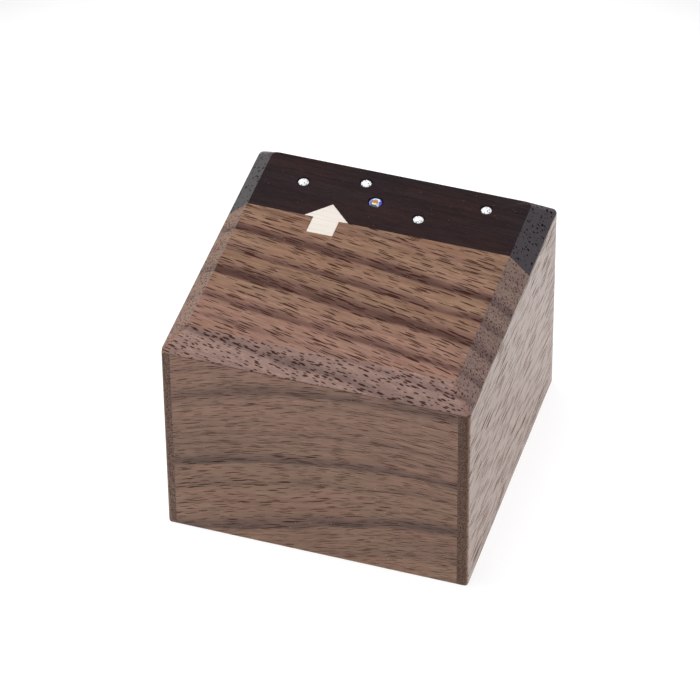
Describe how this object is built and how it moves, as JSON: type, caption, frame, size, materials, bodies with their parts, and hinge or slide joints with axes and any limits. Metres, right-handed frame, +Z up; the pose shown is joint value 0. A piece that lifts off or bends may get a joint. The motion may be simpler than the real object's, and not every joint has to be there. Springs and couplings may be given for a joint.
{
  "type": "inlaid wooden box",
  "caption": "Small chamfered walnut box with an ebony bar, a maple arrow and set stones in its lid; the lid slides back on tongues to open a pale inner box.",
  "frame": {"origin": "middle of the flat underside", "axes": "+X to the right along the front, +Y to the back, the way the arrow points and the lid slides, +Z up"},
  "size_m": [0.07, 0.07, 0.0573],
  "materials": {
    "walnut": "satin, clear oiled walnut",
    "lid_walnut": "satin, clear oiled walnut with open pores",
    "magnolia": "planed, unfinished pale wood",
    "ebony": "satin, clear oiled ebony",
    "maple": "satin, clear oiled maple",
    "clear_stone": "cut glass with a silvered back",
    "aurora_stone": "cut glass with a rainbow coating and a silvered back"
  },
  "bodies": {
    "case": {"left_panel": "walnut", "right_panel": "walnut", "front_panel": "walnut", "back_panel": "walnut", "base_panel": "walnut", "left_liner": "magnolia", "right_liner": "magnolia", "front_liner": "magnolia", "back_liner": "magnolia", "floor_board": "magnolia"},
    "lid": {"lid_board": "lid_walnut", "ebony_bar": "ebony", "arrow_head": "maple", "arrow_shaft": "maple", "runner_board": "magnolia", "clear_stone_1": "clear_stone", "clear_stone_2": "clear_stone", "clear_stone_3": "clear_stone", "clear_stone_4": "clear_stone", "aurora_stone": "aurora_stone"}
  },
  "joints": [
    {"name": "lid_slide", "type": "slide", "parent": "case", "child": "lid", "axis": [0, 1, 0], "range_m": [0, 0.0406]}
  ]
}
